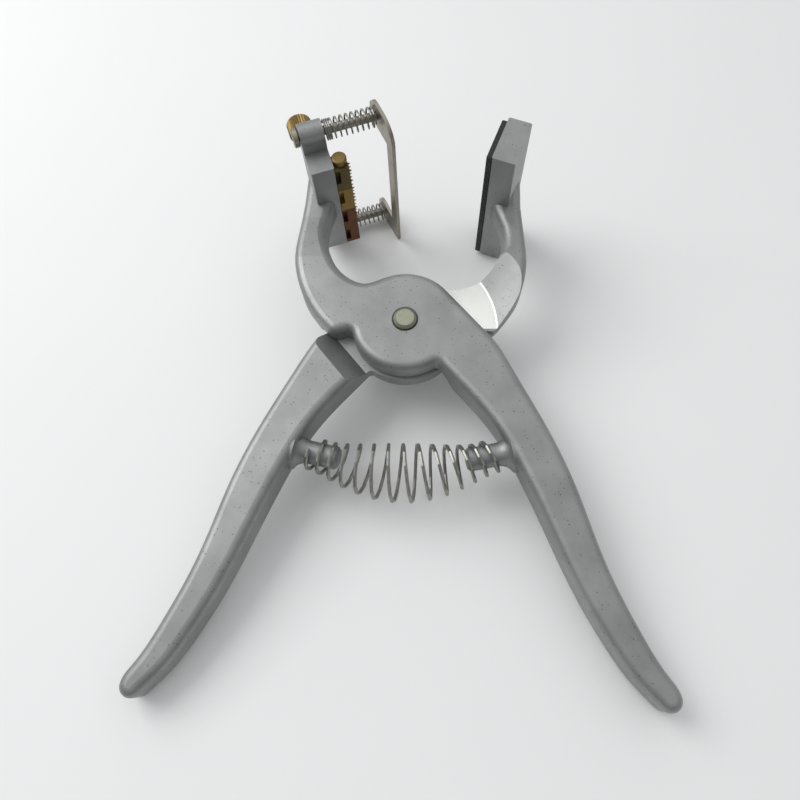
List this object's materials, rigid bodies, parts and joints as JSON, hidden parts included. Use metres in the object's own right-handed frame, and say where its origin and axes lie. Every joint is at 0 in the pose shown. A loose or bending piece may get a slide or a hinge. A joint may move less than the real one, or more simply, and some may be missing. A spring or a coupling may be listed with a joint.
{
  "type": "ear tattoo pliers",
  "caption": "Cast livestock ear tattoo pliers with a needle-block head, spring-loaded ejector plate, rubber-faced pad jaw and a barrel return spring between the handles.",
  "frame": {"origin": "on the pivot axis, at the face where the two levers lap", "axes": "+Z along the pivot axis towards the number lever's disc, +Y from the pivot towards the jaws, +X towards the pad jaw"},
  "size_m": [0.1686, 0.2022, 0.0684],
  "materials": {
    "cast_aluminium": "satin cast",
    "steel_pin": "satin",
    "spring_steel": "satin",
    "plated_steel": "satin plated",
    "needle_steel": "bright",
    "brass_olive": "aged",
    "brass_yellow": "satin",
    "brass_red": "aged red brass",
    "rubber": "matte, fine ribbed"
  },
  "bodies": {
    "pad_side": {"pad_lever": "cast_aluminium", "pivot_pin": "steel_pin", "return_spring": "spring_steel", "rubber_pad": "rubber"},
    "number_side": {"number_lever": "cast_aluminium", "number_block_1": "brass_olive", "number_block_2": "brass_yellow", "number_block_3": "brass_red", "end_block": "brass_red", "needles_1": "needle_steel", "needles_2": "needle_steel", "needles_3": "needle_steel", "stop_rod": "brass_yellow", "ejector_spring_top": "spring_steel", "ejector_spring_bottom": "spring_steel"},
    "ejector": {"ejector_plate": "plated_steel", "guide_rod_top": "plated_steel", "guide_rod_bottom": "plated_steel", "rod_nut_top": "plated_steel", "rod_nut_bottom": "plated_steel"},
    "screw": {"lock_screw": "brass_olive"}
  },
  "joints": [
    {"name": "jaw_hinge", "type": "hinge", "parent": "pad_side", "child": "number_side", "pos_m": [0, 0, 0], "axis": [0, 0, 1], "range_deg": [-43.5, 0], "deforming": ["return_spring"]},
    {"name": "ejector_slide", "type": "slide", "parent": "number_side", "child": "ejector", "axis": [-0.9472, -0.3206, 0], "range_m": [0, 0.012], "deforming": ["ejector_spring_top", "ejector_spring_bottom"]},
    {"name": "lock_screw_turn", "type": "hinge", "parent": "number_side", "child": "screw", "pos_m": [-0.03895, 0.06813, 0.0206], "axis": [-0.3206, 0.9472, 0], "continuous": true}
  ],
  "couplings": [
    {"joint": "ejector_slide", "follows": "jaw_hinge", "m_per_rad": -0.015806}
  ]
}
